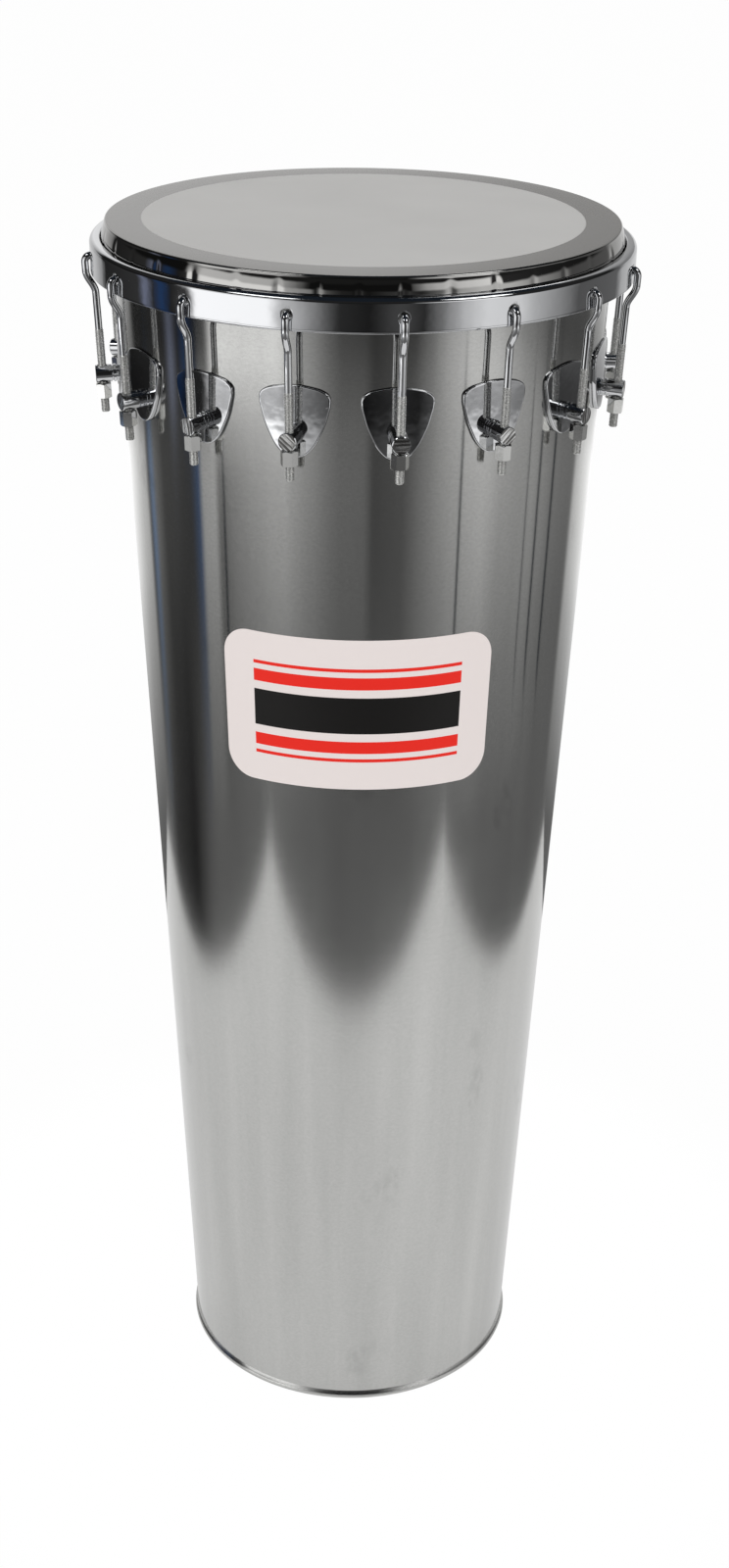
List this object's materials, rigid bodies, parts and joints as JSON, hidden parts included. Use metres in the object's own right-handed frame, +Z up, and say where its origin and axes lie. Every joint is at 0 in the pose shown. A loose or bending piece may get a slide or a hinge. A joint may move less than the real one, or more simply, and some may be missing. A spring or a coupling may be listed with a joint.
{
  "type": "timbal drum",
  "caption": "Tall tapered aluminium hand drum with a plastic head drawn down by hooks, nuts and shield-shaped lugs.",
  "frame": {"origin": "middle of the foot, on the surface that the drum stands on", "axes": "+Z up along the shell's axis to the playing face; -Y to the front, with station 1 eight degrees from it towards +X"},
  "size_m": [0.379, 0.379, 0.9104],
  "materials": {
    "polished_aluminium": "polished and finely brushed round the shell",
    "steel_wire": "drawn wire, plain",
    "head_film": "clear film with a matt white coating in the middle",
    "hoop_aluminium": "rolled, plain",
    "chrome": "bright chrome plate"
  },
  "bodies": {
    "drum": {"shell": "polished_aluminium", "foot_wire": "steel_wire", "head_film": "head_film", "lug_01": "chrome", "lug_02": "chrome", "lug_03": "chrome", "lug_04": "chrome", "lug_05": "chrome", "lug_06": "chrome", "lug_07": "chrome", "lug_08": "chrome", "lug_09": "chrome", "lug_10": "chrome", "lug_11": "chrome", "lug_12": "chrome", "lug_13": "chrome", "lug_14": "chrome", "lug_15": "chrome", "lug_16": "chrome"},
    "rim_and_hoop": {"rim": "chrome", "flesh_hoop": "hoop_aluminium"},
    "hook_01": {"hook_01": "chrome"},
    "hook_02": {"hook_02": "chrome"},
    "hook_03": {"hook_03": "chrome"},
    "hook_04": {"hook_04": "chrome"},
    "hook_05": {"hook_05": "chrome"},
    "hook_06": {"hook_06": "chrome"},
    "hook_07": {"hook_07": "chrome"},
    "hook_08": {"hook_08": "chrome"},
    "hook_09": {"hook_09": "chrome"},
    "hook_10": {"hook_10": "chrome"},
    "hook_11": {"hook_11": "chrome"},
    "hook_12": {"hook_12": "chrome"},
    "hook_13": {"hook_13": "chrome"},
    "hook_14": {"hook_14": "chrome"},
    "hook_15": {"hook_15": "chrome"},
    "hook_16": {"hook_16": "chrome"},
    "nut_01": {"nut_01": "chrome"},
    "nut_02": {"nut_02": "chrome"},
    "nut_03": {"nut_03": "chrome"},
    "nut_04": {"nut_04": "chrome"},
    "nut_05": {"nut_05": "chrome"},
    "nut_06": {"nut_06": "chrome"},
    "nut_07": {"nut_07": "chrome"},
    "nut_08": {"nut_08": "chrome"},
    "nut_09": {"nut_09": "chrome"},
    "nut_10": {"nut_10": "chrome"},
    "nut_11": {"nut_11": "chrome"},
    "nut_12": {"nut_12": "chrome"},
    "nut_13": {"nut_13": "chrome"},
    "nut_14": {"nut_14": "chrome"},
    "nut_15": {"nut_15": "chrome"},
    "nut_16": {"nut_16": "chrome"}
  },
  "joints": [
    {"name": "head_tension", "type": "slide", "parent": "drum", "child": "rim_and_hoop", "axis": [0, 0, -1], "range_m": [-0.002, 0.0015]},
    {"name": "hook_01_draw", "type": "slide", "parent": "drum", "child": "hook_01", "axis": [-0.0066, 0.0471, -0.9989], "range_m": [-0.0021, 0.0016]},
    {"name": "hook_02_draw", "type": "slide", "parent": "drum", "child": "hook_02", "axis": [-0.0241, 0.041, -0.9989], "range_m": [-0.0021, 0.0016]},
    {"name": "hook_03_draw", "type": "slide", "parent": "drum", "child": "hook_03", "axis": [-0.038, 0.0286, -0.9989], "range_m": [-0.0021, 0.0016]},
    {"name": "hook_04_draw", "type": "slide", "parent": "drum", "child": "hook_04", "axis": [-0.046, 0.0119, -0.9989], "range_m": [-0.0021, 0.0016]},
    {"name": "hook_05_draw", "type": "slide", "parent": "drum", "child": "hook_05", "axis": [-0.0471, -0.0066, -0.9989], "range_m": [-0.0021, 0.0016]},
    {"name": "hook_06_draw", "type": "slide", "parent": "drum", "child": "hook_06", "axis": [-0.041, -0.0241, -0.9989], "range_m": [-0.0021, 0.0016]},
    {"name": "hook_07_draw", "type": "slide", "parent": "drum", "child": "hook_07", "axis": [-0.0286, -0.038, -0.9989], "range_m": [-0.0021, 0.0016]},
    {"name": "hook_08_draw", "type": "slide", "parent": "drum", "child": "hook_08", "axis": [-0.0119, -0.046, -0.9989], "range_m": [-0.0021, 0.0016]},
    {"name": "hook_09_draw", "type": "slide", "parent": "drum", "child": "hook_09", "axis": [0.0066, -0.0471, -0.9989], "range_m": [-0.0021, 0.0016]},
    {"name": "hook_10_draw", "type": "slide", "parent": "drum", "child": "hook_10", "axis": [0.0241, -0.041, -0.9989], "range_m": [-0.0021, 0.0016]},
    {"name": "hook_11_draw", "type": "slide", "parent": "drum", "child": "hook_11", "axis": [0.038, -0.0286, -0.9989], "range_m": [-0.0021, 0.0016]},
    {"name": "hook_12_draw", "type": "slide", "parent": "drum", "child": "hook_12", "axis": [0.046, -0.0119, -0.9989], "range_m": [-0.0021, 0.0016]},
    {"name": "hook_13_draw", "type": "slide", "parent": "drum", "child": "hook_13", "axis": [0.0471, 0.0066, -0.9989], "range_m": [-0.0021, 0.0016]},
    {"name": "hook_14_draw", "type": "slide", "parent": "drum", "child": "hook_14", "axis": [0.041, 0.0241, -0.9989], "range_m": [-0.0021, 0.0016]},
    {"name": "hook_15_draw", "type": "slide", "parent": "drum", "child": "hook_15", "axis": [0.0286, 0.038, -0.9989], "range_m": [-0.0021, 0.0016]},
    {"name": "hook_16_draw", "type": "slide", "parent": "drum", "child": "hook_16", "axis": [0.0119, 0.046, -0.9989], "range_m": [-0.0021, 0.0016]},
    {"name": "nut_01_turn", "type": "hinge", "parent": "drum", "child": "nut_01", "pos_m": [0.02501, -0.17795, 0.8062], "axis": [0.0066, -0.0471, 0.9989], "range_deg": [-725, 545]},
    {"name": "nut_02_turn", "type": "hinge", "parent": "drum", "child": "nut_02", "pos_m": [0.0912, -0.15483, 0.8062], "axis": [0.0241, -0.041, 0.9989], "range_deg": [-725, 545]},
    {"name": "nut_03_turn", "type": "hinge", "parent": "drum", "child": "nut_03", "pos_m": [0.14351, -0.10815, 0.8062], "axis": [0.038, -0.0286, 0.9989], "range_deg": [-725, 545]},
    {"name": "nut_04_turn", "type": "hinge", "parent": "drum", "child": "nut_04", "pos_m": [0.17398, -0.04499, 0.8062], "axis": [0.046, -0.0119, 0.9989], "range_deg": [-725, 545]},
    {"name": "nut_05_turn", "type": "hinge", "parent": "drum", "child": "nut_05", "pos_m": [0.17795, 0.02501, 0.8062], "axis": [0.0471, 0.0066, 0.9989], "range_deg": [-725, 545]},
    {"name": "nut_06_turn", "type": "hinge", "parent": "drum", "child": "nut_06", "pos_m": [0.15483, 0.0912, 0.8062], "axis": [0.041, 0.0241, 0.9989], "range_deg": [-725, 545]},
    {"name": "nut_07_turn", "type": "hinge", "parent": "drum", "child": "nut_07", "pos_m": [0.10815, 0.14351, 0.8062], "axis": [0.0286, 0.038, 0.9989], "range_deg": [-725, 545]},
    {"name": "nut_08_turn", "type": "hinge", "parent": "drum", "child": "nut_08", "pos_m": [0.04499, 0.17398, 0.8062], "axis": [0.0119, 0.046, 0.9989], "range_deg": [-725, 545]},
    {"name": "nut_09_turn", "type": "hinge", "parent": "drum", "child": "nut_09", "pos_m": [-0.02501, 0.17795, 0.8062], "axis": [-0.0066, 0.0471, 0.9989], "range_deg": [-725, 545]},
    {"name": "nut_10_turn", "type": "hinge", "parent": "drum", "child": "nut_10", "pos_m": [-0.0912, 0.15483, 0.8062], "axis": [-0.0241, 0.041, 0.9989], "range_deg": [-725, 545]},
    {"name": "nut_11_turn", "type": "hinge", "parent": "drum", "child": "nut_11", "pos_m": [-0.14351, 0.10815, 0.8062], "axis": [-0.038, 0.0286, 0.9989], "range_deg": [-725, 545]},
    {"name": "nut_12_turn", "type": "hinge", "parent": "drum", "child": "nut_12", "pos_m": [-0.17398, 0.04499, 0.8062], "axis": [-0.046, 0.0119, 0.9989], "range_deg": [-725, 545]},
    {"name": "nut_13_turn", "type": "hinge", "parent": "drum", "child": "nut_13", "pos_m": [-0.17795, -0.02501, 0.8062], "axis": [-0.0471, -0.0066, 0.9989], "range_deg": [-725, 545]},
    {"name": "nut_14_turn", "type": "hinge", "parent": "drum", "child": "nut_14", "pos_m": [-0.15483, -0.0912, 0.8062], "axis": [-0.041, -0.0241, 0.9989], "range_deg": [-725, 545]},
    {"name": "nut_15_turn", "type": "hinge", "parent": "drum", "child": "nut_15", "pos_m": [-0.10815, -0.14351, 0.8062], "axis": [-0.0286, -0.038, 0.9989], "range_deg": [-725, 545]},
    {"name": "nut_16_turn", "type": "hinge", "parent": "drum", "child": "nut_16", "pos_m": [-0.04499, -0.17398, 0.8062], "axis": [-0.0119, -0.046, 0.9989], "range_deg": [-725, 545]}
  ],
  "couplings": [
    {"joint": "hook_01_draw", "follows": "head_tension", "ratio": 1},
    {"joint": "hook_02_draw", "follows": "head_tension", "ratio": 1},
    {"joint": "hook_03_draw", "follows": "head_tension", "ratio": 1},
    {"joint": "hook_04_draw", "follows": "head_tension", "ratio": 1},
    {"joint": "hook_05_draw", "follows": "head_tension", "ratio": 1},
    {"joint": "hook_06_draw", "follows": "head_tension", "ratio": 1},
    {"joint": "hook_07_draw", "follows": "head_tension", "ratio": 1},
    {"joint": "hook_08_draw", "follows": "head_tension", "ratio": 1},
    {"joint": "hook_09_draw", "follows": "head_tension", "ratio": 1},
    {"joint": "hook_10_draw", "follows": "head_tension", "ratio": 1},
    {"joint": "hook_11_draw", "follows": "head_tension", "ratio": 1},
    {"joint": "hook_12_draw", "follows": "head_tension", "ratio": 1},
    {"joint": "hook_13_draw", "follows": "head_tension", "ratio": 1},
    {"joint": "hook_14_draw", "follows": "head_tension", "ratio": 1},
    {"joint": "hook_15_draw", "follows": "head_tension", "ratio": 1},
    {"joint": "hook_16_draw", "follows": "head_tension", "ratio": 1},
    {"joint": "nut_01_turn", "follows": "head_tension", "rad_per_m": 6283.2},
    {"joint": "nut_02_turn", "follows": "head_tension", "rad_per_m": 6283.2},
    {"joint": "nut_03_turn", "follows": "head_tension", "rad_per_m": 6283.2},
    {"joint": "nut_04_turn", "follows": "head_tension", "rad_per_m": 6283.2},
    {"joint": "nut_05_turn", "follows": "head_tension", "rad_per_m": 6283.2},
    {"joint": "nut_06_turn", "follows": "head_tension", "rad_per_m": 6283.2},
    {"joint": "nut_07_turn", "follows": "head_tension", "rad_per_m": 6283.2},
    {"joint": "nut_08_turn", "follows": "head_tension", "rad_per_m": 6283.2},
    {"joint": "nut_09_turn", "follows": "head_tension", "rad_per_m": 6283.2},
    {"joint": "nut_10_turn", "follows": "head_tension", "rad_per_m": 6283.2},
    {"joint": "nut_11_turn", "follows": "head_tension", "rad_per_m": 6283.2},
    {"joint": "nut_12_turn", "follows": "head_tension", "rad_per_m": 6283.2},
    {"joint": "nut_13_turn", "follows": "head_tension", "rad_per_m": 6283.2},
    {"joint": "nut_14_turn", "follows": "head_tension", "rad_per_m": 6283.2},
    {"joint": "nut_15_turn", "follows": "head_tension", "rad_per_m": 6283.2},
    {"joint": "nut_16_turn", "follows": "head_tension", "rad_per_m": 6283.2}
  ]
}
